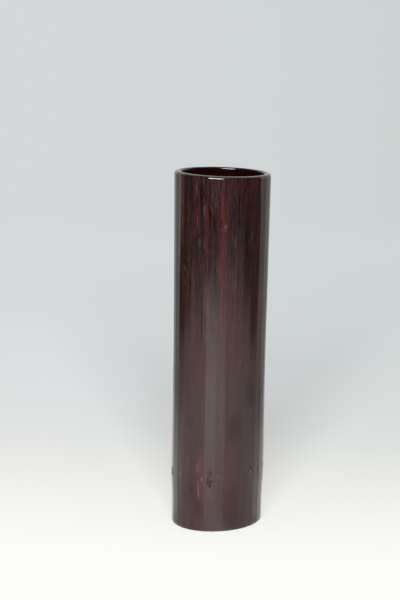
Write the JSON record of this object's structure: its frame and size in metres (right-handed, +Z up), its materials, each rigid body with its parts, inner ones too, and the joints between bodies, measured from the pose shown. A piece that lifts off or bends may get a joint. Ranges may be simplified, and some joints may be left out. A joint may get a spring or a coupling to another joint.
{
  "type": "bamboo flower tube",
  "caption": "Tall slim oval tube of planed, lacquered bamboo, closed at a node near the foot and lined to hold water and flower stems inside a hanging basket.",
  "frame": {"origin": "on the standing surface, under the middle of the tube's box", "axes": "+Z up the tube to its mouth, -Y towards the pictured side, +X to the right in the picture"},
  "size_m": [0.0627, 0.06, 0.2263],
  "materials": {
    "wiped_lacquer_bamboo": "planed bamboo wiped with brown-red lacquer, semi-gloss",
    "bare_bamboo": "raw scraped bamboo, matt",
    "black_lacquer": "brushed black-red lacquer, glossy"
  },
  "bodies": {
    "root": {"culm_wall": "wiped_lacquer_bamboo", "node_diaphragm": "bare_bamboo", "lacquer_lining": "black_lacquer"}
  },
  "joints": []
}
